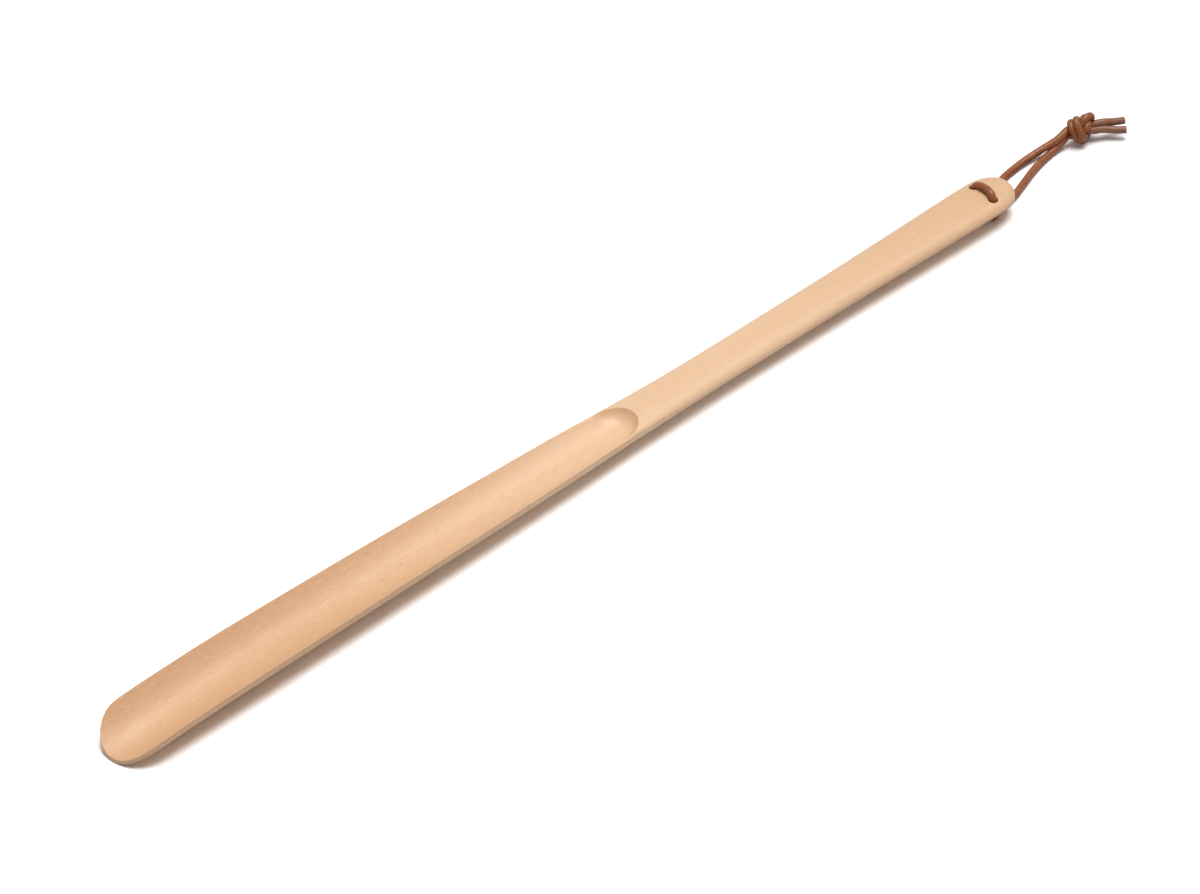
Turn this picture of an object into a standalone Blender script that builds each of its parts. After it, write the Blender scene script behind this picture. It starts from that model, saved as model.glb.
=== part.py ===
"""Long-handled wooden shoe horn, with a leather hanging cord tied in a doubled overhand knot.

The horn is one carved piece of beech: a deep scoop for the heel at one end, a domed handle at the
other, and two holes side by side near the handle's end. One round leather cord goes up through one
hole, over the handle and down through the other, and its two strands are knotted together.
The horn lies with its scoop up. X runs from the blade's tip to the handle's end, Y across, Z up.
"""

import math

import bmesh
import bpy
import numpy as np
from mathutils import Vector

# Sizes of the horn, in metres
HORN_LENGTH = 0.550
SCOOP_LENGTH = 0.3185
BLADE_WIDTH = 0.035
WAIST_WIDTH = 0.0211
HANDLE_END_WIDTH = 0.0240
BLADE_HEIGHT = 0.0152
HANDLE_THICKNESS = 0.0100
HANDLE_DOME = 0.0015
TIP_ROUND_LENGTH = 0.0198
END_ROUND_LENGTH = 0.0150
TIP_WALL = 0.0020
BLADE_WALL = 0.0034
SCOOP_END_WALL = 0.0044
RIM_EDGE = 0.0035
SCOOP_NOSE_LENGTH = 0.0165

# How round the horn's edges are, across and down the side
UPPER_EDGE_ACROSS = 0.0036
UPPER_EDGE_DOWN = 0.0021
LOWER_EDGE_ACROSS = 0.0026
LOWER_EDGE_DOWN = 0.0013
RIM_SOFTENING = 0.0004
FLAT_BACK_WIDTH = 0.0050
END_EDGE_TOP = 0.0036
END_EDGE_UNDER = 0.0042
END_LIFT_LENGTH = 0.0450
END_LIFT = 0.0006

# The cord and its two holes
CORD_DIAMETER = 0.0030
HOLE_SPACING = 0.0130
HOLE_INSET = 0.0155
HOLE_FLARE = 0.0005
BRIDGE_RISE = 0.0022
KNOT_GAP = 0.0007
TAIL_LENGTH = 0.0130
KNOT_ENTRY_REACH = 0.0093
KNOT_LEAVE_REACH = 0.0080

# Clearances: between touching pieces, and between the cord and the surface that it lies on
FIT_GAP = 0.0003
FLOOR_GAP = 0.0002
# How far a cutter runs past what it cuts
OVERRUN = 0.0020

CORD_RADIUS = CORD_DIAMETER / 2
HOLE_DIAMETER = CORD_DIAMETER + 2 * FIT_GAP
HANDLE_LENGTH = HORN_LENGTH - SCOOP_LENGTH
# The handle's end rests on the cord, so its underside lies a cord and two gaps above the surface
UNDERSIDE = FLOOR_GAP + CORD_DIAMETER + FIT_GAP
HANDLE_EDGE_HEIGHT = UNDERSIDE + HANDLE_THICKNESS - HANDLE_DOME
HOLE_PLACE = HORN_LENGTH - HOLE_INSET
# The strands swing about a line across the horn, just under the two holes
PIVOT_HEIGHT = FLOOR_GAP + CORD_RADIUS

# Plan outline: shares of the scoop's and the handle's length, and where the half width lies
# between the waist and the blade, then between the waist and the handle's end
BLADE_PLACE_SHARES = (0.0, 0.10, 0.21, 0.345, 0.60, 0.86, 1.0)
BLADE_WIDTH_SHARES = (0.95, 1.0, 0.995, 0.915, 0.680, 0.355, 0.125)
HANDLE_PLACE_SHARES = (0.0, 0.28, 0.52, 0.76, 0.92, 1.0)
WAIST_WIDTH_SHARES = (0.125, 0.0, 0.0, 0.0, 0.0, 0.0)
END_WIDTH_SHARES = (0.0, 0.0, 0.08, 0.60, 1.0, 0.98)

# Side outline: how far the rim stands above the handle's edge, and how far the underside has
# come up from the surface to the handle's height, at the same kind of places
RIM_PLACE_SHARES = (0.0, 0.10, 0.26, 0.52, 0.78, 1.0)
RIM_RISE_SHARES = (0.0, 0.72, 1.0, 0.86, 0.47, 0.22)
HANDLE_RIM_PLACE_SHARES = (0.0, 0.40, 0.76, 1.0)
HANDLE_RIM_RISE_SHARES = (0.22, 0.11, 0.03, 0.0)
BACK_PLACE_SHARES = (0.0, 0.03, 0.10, 0.26, 0.52, 0.76, 1.0)
BACK_RISE_SHARES = (0.05, 0.0, 0.27, 0.68, 0.90, 1.0, 1.0)
WALL_PLACE_SHARES = (0.0, 0.10, 0.26, 0.62, 0.90)

# Where along the scoop the round back gets its flat strip, and the crisp rims their handle's rounding
BACK_FLATTENS_SHARES = (0.75, 1.08)
EDGE_ROUNDS_SHARES = (0.89, 1.12)

TIP_ROUNDNESS_SHARE = 2.22
END_ROUNDNESS_SHARE = 2.15
NOSE_ROUNDNESS_SHARE = 2.1
SCOOP_CURVE_SHARE = 2.0
NOSE_CURVE_SHARE = 2.8
EDGE_STRIP_SHARE = 0.015
POINTED_END_SHARE = 0.03
# The most that two corners take of a section's half width and of its side's height
CORNER_WIDTH_SHARE = 0.45
CORNER_HEIGHT_SHARE = 0.9

# The cord's free strands, as points chosen by eye from the blade's tip, across and up
FAR_STRAND_POINTS = (
    (0.5460, 0.0080, 0.00170),
    (0.5584, 0.0106, 0.00190),
    (0.5660, 0.0124, 0.00230),
    (0.5731, 0.0130, 0.00320),
    (0.5795, 0.0123, 0.00470),
    (0.5848, 0.0104, 0.00670),
)
NEAR_STRAND_POINTS = (
    (0.5460, -0.0043, 0.00170),
    (0.5566, 0.0004, 0.00170),
    (0.5634, 0.0034, 0.00175),
    (0.5706, 0.0061, 0.00190),
    (0.5774, 0.0084, 0.00225),
    (0.5835, 0.0093, 0.00310),
)
KNOT_CENTRE = (0.6015, 0.0052)

# How the knot lies: its roll about its own line, its heading seen from above, how far the two
# strands are twisted round each other where they enter it, and which way the tails run
KNOT_ROLL_DEG = 245.0
KNOT_HEADING_DEG = -8.0
ENTRY_TWIST_DEG = 50.0
TAIL_HEADING_DEG = -44.0
FAR_TAIL_SLOPE_DEG = -11.0
NEAR_TAIL_SLOPE_DEG = -18.0


def smooth_through(places, values, place):
    """Read a smooth curve that passes through the values and never overshoots them."""
    gaps = [b - a for a, b in zip(places, places[1:])]
    slopes = [(b - a) / gap for a, b, gap in zip(values, values[1:], gaps)]
    tangents = [slopes[0]]
    for before, after in zip(slopes, slopes[1:]):
        same_way = before * after > 0
        tangents.append(2 * before * after / (before + after) if same_way else 0.0)
    tangents.append(slopes[-1])
    if place <= places[0]:
        return values[0]
    if place >= places[-1]:
        return values[-1]
    i = max(k for k, start in enumerate(places[:-1]) if start <= place)
    u = (place - places[i]) / gaps[i]
    start = values[i] * (1 + 2 * u) * (1 - u) ** 2 + tangents[i] * gaps[i] * u * (1 - u) ** 2
    end = values[i + 1] * u * u * (3 - 2 * u) + tangents[i + 1] * gaps[i] * u * u * (u - 1)
    return start + end


def ease(place, start, end):
    """Go smoothly from 0 at start to 1 at end."""
    u = min(1.0, max(0.0, (place - start) / (end - start)))
    return u * u * (3 - 2 * u)


def join_places(blade_shares, handle_shares):
    """Turn shares of the scoop and of the handle into distances from the blade's tip."""
    blade = [share * SCOOP_LENGTH for share in blade_shares]
    handle = [SCOOP_LENGTH + share * HANDLE_LENGTH for share in handle_shares[1:]]
    return blade + handle


def full_half_width(x):
    """Half the width of the outline before its two ends are rounded."""
    places = join_places(BLADE_PLACE_SHARES, HANDLE_PLACE_SHARES)
    to_blade = list(BLADE_WIDTH_SHARES) + list(WAIST_WIDTH_SHARES[1:])
    to_end = [0.0] * len(BLADE_WIDTH_SHARES) + list(END_WIDTH_SHARES[1:])
    blade_part = (BLADE_WIDTH - WAIST_WIDTH) * smooth_through(places, to_blade, x)
    end_part = (HANDLE_END_WIDTH - WAIST_WIDTH) * smooth_through(places, to_end, x)
    return (WAIST_WIDTH + blade_part + end_part) / 2


def rounding(distance, length, roundness):
    """Share of the full width that is left at a distance from a rounded end."""
    if distance >= length:
        return 1.0
    left = 1 - (1 - max(0.0, distance) / length) ** roundness
    return max(POINTED_END_SHARE, left ** (1 / roundness))


def outline_half_width(x):
    """Half the width of the finished outline."""
    tip = rounding(x, TIP_ROUND_LENGTH, TIP_ROUNDNESS_SHARE)
    end = rounding(HORN_LENGTH - x, END_ROUND_LENGTH, END_ROUNDNESS_SHARE)
    return full_half_width(x) * tip * end


def rim_height(x):
    """Height of the top face at its two long edges."""
    places = join_places(RIM_PLACE_SHARES, HANDLE_RIM_PLACE_SHARES)
    rises = list(RIM_RISE_SHARES) + list(HANDLE_RIM_RISE_SHARES[1:])
    return HANDLE_EDGE_HEIGHT + (BLADE_HEIGHT - HANDLE_EDGE_HEIGHT) * smooth_through(places, rises, x)


def back_height(x):
    """Height of the underside on the horn's middle line, which lifts a little near the handle's end."""
    places = [share * SCOOP_LENGTH for share in BACK_PLACE_SHARES]
    lifting = max(0.0, 1 - (HORN_LENGTH - x) / END_LIFT_LENGTH)
    return UNDERSIDE * smooth_through(places, BACK_RISE_SHARES, x) + END_LIFT * lifting ** 2


def wall(x):
    """Thickness of the wood under the middle of the scoop."""
    places = [share * SCOOP_LENGTH for share in WALL_PLACE_SHARES]
    middle = (TIP_WALL + 3 * BLADE_WALL) / 4
    walls = (TIP_WALL, middle, BLADE_WALL, BLADE_WALL, SCOOP_END_WALL)
    return smooth_through(places, walls, x)


def end_drop(x, radius):
    """How far a face has rounded away towards the handle's end."""
    along = max(0.0, x - (HORN_LENGTH - radius)) / radius
    return radius * (1 - math.sqrt(max(0.0, 1 - along * along)))


def top_height(x, y):
    """Height of the domed top face, before the scoop is cut."""
    across = min(1.0, abs(y) / full_half_width(x))
    return rim_height(x) + HANDLE_DOME * (1 - across ** 2) - end_drop(x, END_EDGE_TOP)


def scoop_height(x, y):
    """Height of the carved surface of the scoop, which runs on above the top face outside it."""
    nose_start = SCOOP_LENGTH - SCOOP_NOSE_LENGTH
    into_nose = max(0.0, x - nose_start) / SCOOP_NOSE_LENGTH
    across = abs(y) / full_half_width(x)
    out = (across ** NOSE_ROUNDNESS_SHARE + into_nose ** NOSE_ROUNDNESS_SHARE) ** (1 / NOSE_ROUNDNESS_SHARE)
    turning = ease(into_nose, 0.0, 1.0)
    curve = SCOOP_CURVE_SHARE + (NOSE_CURVE_SHARE - SCOOP_CURVE_SHARE) * turning
    dome = HANDLE_DOME * (1 - across ** 2)
    depth = rim_height(x) + HANDLE_DOME - back_height(x) - wall(x)
    return rim_height(x) + dome - depth * (1 - out ** curve)


def along_scoop(x, shares):
    """Go smoothly from 0 to 1 between two places given as shares of the scoop's length."""
    return ease(x, shares[0] * SCOOP_LENGTH, shares[1] * SCOOP_LENGTH)


def rounded_corner(start, corner, end, steps=5):
    """A smooth curve from start to end that keeps inside the corner between them."""
    curve = []
    for k in range(steps + 1):
        u = k / steps
        parts = zip(start, corner, end)
        curve.append(tuple((1 - u) ** 2 * a + 2 * u * (1 - u) * b + u * u * c for a, b, c in parts))
    return curve


def blank_section(x):
    """One cross-section of the uncut horn, as a ring of points going once round it."""
    full = full_half_width(x)
    half = outline_half_width(x)
    flat = along_scoop(x, BACK_FLATTENS_SHARES) * FLAT_BACK_WIDTH / 2
    rounded = along_scoop(x, EDGE_ROUNDS_SHARES)
    bottom = back_height(x) + end_drop(x, END_EDGE_UNDER)
    rim = top_height(x, full)
    edge = min(RIM_EDGE, (rim - bottom) / 2)

    def under(y):
        bowed = max(0.0, y - flat) / (full - flat)
        return bottom + (rim - edge - bottom) * bowed ** 2

    def corner(size):
        return RIM_SOFTENING + rounded * (size - RIM_SOFTENING)

    low = under(half)
    high = top_height(x, half)
    fit = min(1.0, CORNER_HEIGHT_SHARE * (high - low) / (corner(UPPER_EDGE_DOWN) + corner(LOWER_EDGE_DOWN)))
    foot = half - min(corner(LOWER_EDGE_ACROSS), CORNER_WIDTH_SHARE * half)
    crown = half - min(corner(UPPER_EDGE_ACROSS), CORNER_WIDTH_SHARE * half)
    low_down = fit * corner(LOWER_EDGE_DOWN)
    high_down = fit * corner(UPPER_EDGE_DOWN)
    strip = min(flat, foot / 2)

    side = [(0.0, under(0.0)), (strip, under(strip))]
    side += [(strip + (foot - strip) * k / 6, under(strip + (foot - strip) * k / 6)) for k in range(1, 6)]
    side += rounded_corner((foot, under(foot)), (half, low), (half, low + low_down))
    side += rounded_corner((half, high - high_down), (half, high), (crown, top_height(x, crown)))
    side += [(crown * (1 - k / 7), top_height(x, crown * (1 - k / 7))) for k in range(1, 8)]
    mirrored = [(-y, z) for y, z in reversed(side[1:-1])]
    return [Vector((x, y, z)) for y, z in side + mirrored]


def blank_places():
    """Places of the horn's cross-sections, closer together at its two ends and at the scoop's end."""
    tip = [TIP_ROUND_LENGTH * (1 - math.cos(math.pi / 2 * k / 9)) for k in range(9)]
    blade = np.linspace(TIP_ROUND_LENGTH, SCOOP_LENGTH - 2 * SCOOP_NOSE_LENGTH, 20)
    root = np.linspace(blade[-1], SCOOP_LENGTH + 3 * SCOOP_NOSE_LENGTH, 20)[1:]
    end_start = HORN_LENGTH - END_ROUND_LENGTH
    handle = np.linspace(root[-1], HOLE_PLACE - 2 * HOLE_DIAMETER, 11)[1:]
    holes = np.linspace(handle[-1], end_start, 6)[1:]
    end = [end_start + END_ROUND_LENGTH * math.sin(math.pi / 2 * k / 9) for k in range(1, 10)]
    return tip + list(blade) + list(root) + list(handle) + list(holes) + end


def loft(name, rings):
    """Skin a row of rings with quads and close its two ends."""
    mesh = bpy.data.meshes.new(name)
    bm = bmesh.new()
    rows = [[bm.verts.new(point) for point in ring] for ring in rings]
    for row, following in zip(rows, rows[1:]):
        count = len(row)
        for k in range(count):
            bm.faces.new((row[k], row[(k + 1) % count], following[(k + 1) % count], following[k]))
    bm.faces.new(list(reversed(rows[0])))
    bm.faces.new(rows[-1])
    bmesh.ops.recalc_face_normals(bm, faces=bm.faces)
    bm.to_mesh(mesh)
    bm.free()
    mesh.shade_smooth()
    mesh.set_sharp_from_angle(angle=math.radians(35))
    obj = bpy.data.objects.new(name, mesh)
    bpy.context.scene.collection.objects.link(obj)
    return obj


def scoop_edge(x):
    """How far from the middle line the scoop's surface meets the top face."""
    nose_start = SCOOP_LENGTH - SCOOP_NOSE_LENGTH
    into_nose = min(1.0, max(0.0, x - nose_start) / SCOOP_NOSE_LENGTH)
    left = (1 - into_nose ** NOSE_ROUNDNESS_SHARE) ** (1 / NOSE_ROUNDNESS_SHARE)
    return full_half_width(x) * max(POINTED_END_SHARE, left)


def scoop_cutter():
    """The shape of the gouge's whole cut, with a narrow strip of faces along the scoop's edge."""
    nose_start = SCOOP_LENGTH - SCOOP_NOSE_LENGTH
    narrow_start = SCOOP_LENGTH * EDGE_ROUNDS_SHARES[0]
    places = [-OVERRUN] + list(np.linspace(0.0, narrow_start, 24))
    places += list(np.linspace(narrow_start, nose_start, 9)[1:])
    places += [nose_start + SCOOP_NOSE_LENGTH * math.sin(math.pi / 2 * k / 18) for k in range(1, 18)]
    places.append(SCOOP_LENGTH + OVERRUN / 4)
    lid = BLADE_HEIGHT + HANDLE_DOME + 3 * OVERRUN
    rings = []
    for x in places:
        inside = max(0.0, x)
        edge = scoop_edge(inside)
        reach = full_half_width(inside) + OVERRUN / 2
        side = [edge * (1 - EDGE_STRIP_SHARE) * k / 12 for k in range(1, 13)]
        side += [edge * (1 + EDGE_STRIP_SHARE), (edge + reach) / 2, reach]
        ys = [-y for y in reversed(side)] + [0.0] + side
        floor = [Vector((x, y, min(lid - OVERRUN / 2, scoop_height(inside, y)))) for y in ys]
        rings.append(floor + [Vector((x, reach, lid)), Vector((x, -reach, lid))])
    return loft("scoop_cutter", rings)


def hole_cutter(side):
    """A drilled hole with a slightly flared mouth on the handle's top face."""
    y = side * HOLE_SPACING / 2
    mouth = top_height(HOLE_PLACE, y)
    radius = HOLE_DIAMETER / 2
    levels = (
        (radius, UNDERSIDE - OVERRUN),
        (radius, mouth - HOLE_FLARE),
        (radius + HOLE_FLARE, mouth + HOLE_FLARE / 2),
        (radius + HOLE_FLARE, mouth + OVERRUN),
    )
    rings = []
    for r, z in levels:
        turns = [2 * math.pi * k / 20 for k in range(20)]
        rings.append([Vector((HOLE_PLACE + r * math.cos(t), y + r * math.sin(t), z)) for t in turns])
    return loft("hole_cutter", rings)


def cut(obj, cutter):
    """Take the cutter's shape out of the object."""
    modifier = obj.modifiers.new(cutter.name, "BOOLEAN")
    modifier.operation = "DIFFERENCE"
    modifier.object = cutter
    cutter.parent = obj.parent
    cutter.hide_render = True
    cutter.display_type = "WIRE"


def make_material(name, colour, roughness):
    """A plain surface in one colour."""
    material = bpy.data.materials.new(name)
    material.use_nodes = True
    shader = material.node_tree.nodes["Principled BSDF"]
    shader.inputs["Base Color"].default_value = (*colour, 1.0)
    shader.inputs["Roughness"].default_value = roughness
    shader.inputs["Metallic"].default_value = 0.0
    return material


def make_empty(name, location, parent=None):
    """A point that pieces hang from."""
    empty = bpy.data.objects.new(name, None)
    empty.location = location
    empty.parent = parent
    bpy.context.scene.collection.objects.link(empty)
    return empty


def lengths_along(route):
    """Distance of each point from the route's start."""
    steps = np.linalg.norm(np.diff(route, axis=0), axis=1)
    return np.concatenate(([0.0], np.cumsum(steps)))


def even_points(route, count):
    """The same route with its points evenly spaced."""
    along = lengths_along(route)
    places = np.linspace(0.0, along[-1], count)
    return np.stack([np.interp(places, along, route[:, k]) for k in range(3)], axis=1)


def smooth_route(points, spacing):
    """Points about one spacing apart on a smooth curve through the given ones."""
    points = np.array(points, dtype=float)
    ends = (2 * points[0] - points[1], 2 * points[-1] - points[-2])
    padded = np.vstack((ends[0], points, ends[1]))
    fine = []
    for a, b, c, d in zip(padded, padded[1:], padded[2:], padded[3:]):
        for u in np.linspace(0.0, 1.0, 16, endpoint=False):
            bend = (2 * a - 5 * b + 4 * c - d) * u * u + (3 * b - a - 3 * c + d) * u ** 3
            fine.append((2 * b + (c - a) * u + bend) / 2)
    fine.append(points[-1])
    fine = np.array(fine)
    count = max(3, round(lengths_along(fine)[-1] / spacing) + 1)
    return even_points(fine, count)


def loose_knot():
    """Two strands side by side in a wide, open overhand knot, in units of one strand's space."""
    t = np.linspace(-2.15, 2.15, 800)
    middle = np.stack((3.35 * (t ** 3 - 3 * t), 2.23 * (t ** 4 - 4 * t ** 2) + 3.35,
                       -0.38 * (t ** 5 - 10 * t)), axis=1)
    forward = np.gradient(middle, axis=0)
    aside = np.stack((-forward[:, 1], forward[:, 0], np.zeros(len(t))), axis=1)
    aside /= np.linalg.norm(aside, axis=1)[:, None]
    return [middle + side * 0.515 * aside for side in (-1, 1)]


def part_strands(points, strand, number, step):
    """Move apart any stretches that lie closer than one strand's space."""
    between = points[:, None] - points[None]
    distance = np.linalg.norm(between, axis=2) + 1e-9
    same = strand[:, None] == strand[None]
    neighbours = same & (np.abs(number[:, None] - number[None]) * step < 1.6)
    close = (distance < 1.0) & ~neighbours
    push = np.where(close, (1.0 - distance) / 2, 0.0)[:, :, None] * between / distance[:, :, None]
    share = 0.6 / np.sqrt(np.maximum(1, close.sum(axis=1)))
    return points + share[:, None] * push.sum(axis=1)


def turned(route, roll, heading):
    """The route rolled about X and then headed another way."""
    roll = math.radians(roll)
    heading = math.radians(heading)
    rolled = np.array(((1, 0, 0), (0, math.cos(roll), -math.sin(roll)), (0, math.sin(roll), math.cos(roll))))
    headed = np.array(((math.cos(heading), -math.sin(heading), 0),
                       (math.sin(heading), math.cos(heading), 0), (0, 0, 1)))
    return route @ rolled.T @ headed.T


def drawn_knot():
    """Draw the loose knot tight: even out the bends, part the strands, bring the ends in line."""
    twist = math.radians(ENTRY_TWIST_DEG)
    entry = np.array((-7.4, math.cos(twist), math.sin(twist)))
    leave = np.array((7.4, 1.0, 0.0))
    routes = loose_knot()
    starts = [(route[0].copy(), route[-1].copy()) for route in routes]
    for rounds, step, evening, pulling in ((1600, 0.5, 0.5, True), (150, 0.43, 0.1, False)):
        for count in range(rounds):
            routes = [even_points(r, round(lengths_along(r)[-1] / step) + 1) for r in routes]
            for route in routes:
                middle = (route[:-2] + route[2:]) / 2
                route[1:-1] = middle * evening + route[1:-1] * (1 - evening)
            strand = np.concatenate([np.full(len(r), k) for k, r in enumerate(routes)])
            number = np.concatenate([np.arange(len(r)) for r in routes])
            points = np.vstack(routes)
            for _ in range(2 if pulling else 3):
                points = part_strands(points, strand, number, step)
            routes = [points[strand == k] for k in range(2)]
            drawn = min(1.0, 2 * count / rounds) if pulling else 1.0
            for route, side, (start, end) in zip(routes, (-0.54, 0.54), starts):
                route[0] = start * (1 - drawn) + entry * (1, side, side) * drawn
                route[-1] = end * (1 - drawn) + leave * (1, side, side) * drawn
    return routes


def least_gap(routes):
    """Least gap between two stretches of the knot's strands, or of one strand and itself."""
    fine = [even_points(route, 300) for route in routes]
    least = math.inf
    for i, route in enumerate(fine):
        for other in fine[i:]:
            distance = np.linalg.norm(route[:, None] - other[None], axis=2)
            if other is route:
                along = lengths_along(route)
                distance[np.abs(along[:, None] - along[None]) < 2.2 * CORD_DIAMETER] = math.inf
            least = min(least, distance.min())
    return least - CORD_DIAMETER


def knot_routes():
    """The far and the near strand's way through the knot, where it lies on the surface."""
    space = CORD_DIAMETER + KNOT_GAP
    routes = []
    for route in drawn_knot():
        route = smooth_route(route * space, CORD_DIAMETER / 8)
        inside = (route[:, 0] > -KNOT_ENTRY_REACH) & (route[:, 0] < KNOT_LEAVE_REACH)
        route = turned(route[inside], KNOT_ROLL_DEG, KNOT_HEADING_DEG)
        count = round(lengths_along(route)[-1] / (CORD_DIAMETER * 0.4)) + 1
        routes.append(even_points(route, count))
    lowest = min(route[:, 2].min() for route in routes)
    centre = np.array((*KNOT_CENTRE, FLOOR_GAP + CORD_RADIUS - lowest))
    return [route + centre for route in routes]


def cord_piece(name, route, material, pivot, origin, round_start=False):
    """A stretch of cord as a round tube along its route, which is measured from the blade's tip."""
    curve = bpy.data.curves.new(name, "CURVE")
    curve.dimensions = "3D"
    curve.bevel_depth = CORD_RADIUS
    curve.bevel_resolution = 2
    curve.use_fill_caps = True
    curve.twist_mode = "MINIMUM"
    points = [(point, 1.0) for point in route]
    if round_start:
        forward = (route[1] - route[0]) / np.linalg.norm(route[1] - route[0])
        for turn in (math.radians(40), math.radians(75)):
            back = route[0] - forward * CORD_RADIUS * math.sin(turn)
            points.insert(0, (back, math.cos(turn)))
    spline = curve.splines.new("POLY")
    spline.points.add(len(points) - 1)
    for spline_point, (point, share) in zip(spline.points, points):
        spline_point.co = (*(np.array(point) - np.array(origin)), 1.0)
        spline_point.radius = share
    spline.use_smooth = True
    curve.materials.append(material)
    obj = bpy.data.objects.new(name, curve)
    obj.parent = pivot
    bpy.context.scene.collection.objects.link(obj)
    return obj


def bridge_route():
    """Up through the far hole, over the handle in a low arch, and down through the near hole."""
    half = HOLE_SPACING / 2
    face = top_height(HOLE_PLACE, half)
    peak = top_height(HOLE_PLACE, 0.0) + BRIDGE_RISE
    straight = [(half, UNDERSIDE), (half, (UNDERSIDE + face) / 2), (half, face - CORD_RADIUS / 2)]
    shoulder = [(half - CORD_RADIUS * 0.08, face + CORD_RADIUS * 0.45),
                (half - CORD_RADIUS * 0.65, face + CORD_RADIUS * 1.25)]
    flank = [(half - CORD_RADIUS * 2.2, peak - CORD_RADIUS * 0.25)]
    rising = straight + shoulder + flank
    falling = [(-y, z) for y, z in reversed(rising)]
    route = rising + [(0.0, peak)] + falling
    return smooth_route([(HOLE_PLACE, y, z) for y, z in route], CORD_DIAMETER / 2)


def strand_route(points, side, entry, direction):
    """From the hole's lower mouth along the chosen points, and straight into the knot."""
    start = np.array((HOLE_PLACE, side * HOLE_SPACING / 2, PIVOT_HEIGHT))
    stop = entry - direction * FIT_GAP
    last = [stop - direction * CORD_DIAMETER, stop]
    return smooth_route([start] + [np.array(p) for p in points] + last, CORD_DIAMETER)


def tail_route(leave, direction, slope_deg):
    """Out of the knot, bending towards the near side and down, to a square cut end."""
    heading = math.radians(TAIL_HEADING_DEG)
    slope = math.radians(slope_deg)
    level = math.cos(slope)
    aside = np.array((level * math.cos(heading), level * math.sin(heading), math.sin(slope)))
    start = leave + direction * FIT_GAP
    bend = start + direction * CORD_DIAMETER * 0.6
    middle = bend + (direction + aside) / 2 * CORD_DIAMETER
    free = TAIL_LENGTH - CORD_DIAMETER * 1.6
    return smooth_route([start, bend, middle, middle + aside * free], CORD_DIAMETER * 0.7)


def unit(vector):
    """The same direction, one long."""
    return vector / np.linalg.norm(vector)


def build():
    """Make every piece of the shoe horn."""
    for obj in list(bpy.data.objects):
        bpy.data.objects.remove(obj)
    beech = make_material("beech", (0.78, 0.52, 0.31), 0.55)
    leather = make_material("leather", (0.27, 0.09, 0.035), 0.45)

    base = make_empty("horn_base", (-HORN_LENGTH / 2, 0.0, 0.0))
    horn = loft("horn", [blank_section(x) for x in blank_places()])
    horn.parent = base
    horn.data.materials.append(beech)
    cut(horn, scoop_cutter())
    cut(horn, hole_cutter(1))
    cut(horn, hole_cutter(-1))
    cord_piece("cord_bridge", bridge_route(), leather, base, (0.0, 0.0, 0.0))

    pivot_point = (HOLE_PLACE, 0.0, PIVOT_HEIGHT)
    pivot = make_empty("lanyard_pivot", pivot_point, base)
    routes = knot_routes()
    print("least gap in the knot:", round(least_gap(routes) / FIT_GAP, 3), "fit gaps,",
          round(least_gap(routes), 6), "m")
    strands = (
        ("far", 1, FAR_STRAND_POINTS, FAR_TAIL_SLOPE_DEG),
        ("near", -1, NEAR_STRAND_POINTS, NEAR_TAIL_SLOPE_DEG),
    )
    for (name, side, points, slope), route in zip(strands, routes):
        enter = unit(route[1] - route[0])
        leave = unit(route[-1] - route[-2])
        strand = strand_route(points, side, route[0], enter)
        cord_piece("cord_strand_" + name, strand, leather, pivot, pivot_point, round_start=True)
        cord_piece("cord_knot_" + name, route, leather, pivot, pivot_point)
        tail = tail_route(route[-1], leave, slope)
        cord_piece("cord_tail_" + name, tail, leather, pivot, pivot_point)


build()
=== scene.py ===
# %% [markdown]
# # A long wooden shoe horn with a leather hanging cord
#
# The object has two real pieces: a horn carved from one length of pale beech, and one round leather
# cord that goes up and down through two holes in the handle and is tied in a doubled overhand knot.
# The lesson first loads the CAD frame, which fixes every size and place.

# %% Load the frame
import math

import bpy
import numpy as np
from mathutils import Matrix, Quaternion, Vector


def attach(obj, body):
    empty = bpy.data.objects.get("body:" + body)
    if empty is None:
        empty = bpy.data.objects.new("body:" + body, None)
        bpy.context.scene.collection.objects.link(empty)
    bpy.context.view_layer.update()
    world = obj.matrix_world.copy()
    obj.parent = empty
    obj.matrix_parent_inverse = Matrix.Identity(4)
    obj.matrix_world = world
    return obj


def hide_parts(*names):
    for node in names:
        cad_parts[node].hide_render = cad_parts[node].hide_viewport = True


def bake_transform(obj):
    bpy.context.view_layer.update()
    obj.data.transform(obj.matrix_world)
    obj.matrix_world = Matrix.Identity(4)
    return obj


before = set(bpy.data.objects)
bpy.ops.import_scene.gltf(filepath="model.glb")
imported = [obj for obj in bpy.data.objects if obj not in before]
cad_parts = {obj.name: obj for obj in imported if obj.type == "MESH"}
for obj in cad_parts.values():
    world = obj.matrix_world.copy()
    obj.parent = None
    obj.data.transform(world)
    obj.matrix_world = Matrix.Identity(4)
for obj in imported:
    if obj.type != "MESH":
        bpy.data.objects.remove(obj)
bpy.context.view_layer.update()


# %% [markdown]
# ## The camera
#
# The photograph looks down on the horn from its near side, turned about 45 degrees, and its lines
# hardly converge, so it was taken from far away with a long lens. Two ways would do: an orthographic
# camera, or a very long lens. The long lens is used, because a camera that is moved round the object
# for another view then still frames all of it.

# %% Place the camera
CAMERA_AZIMUTH = -45.362
CAMERA_ELEVATION = 37.171
CAMERA_ROLL = -0.565
CAMERA_TARGET = Vector((0.02167, -0.00067, 0.006))
CAMERA_DISTANCE = 17.195
CAMERA_LENS = 1200.0


def deselect_all():
    """Leave nothing selected, so that an operator acts only on what is chosen next."""
    for thing in bpy.context.selected_objects:
        thing.select_set(False)


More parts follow.
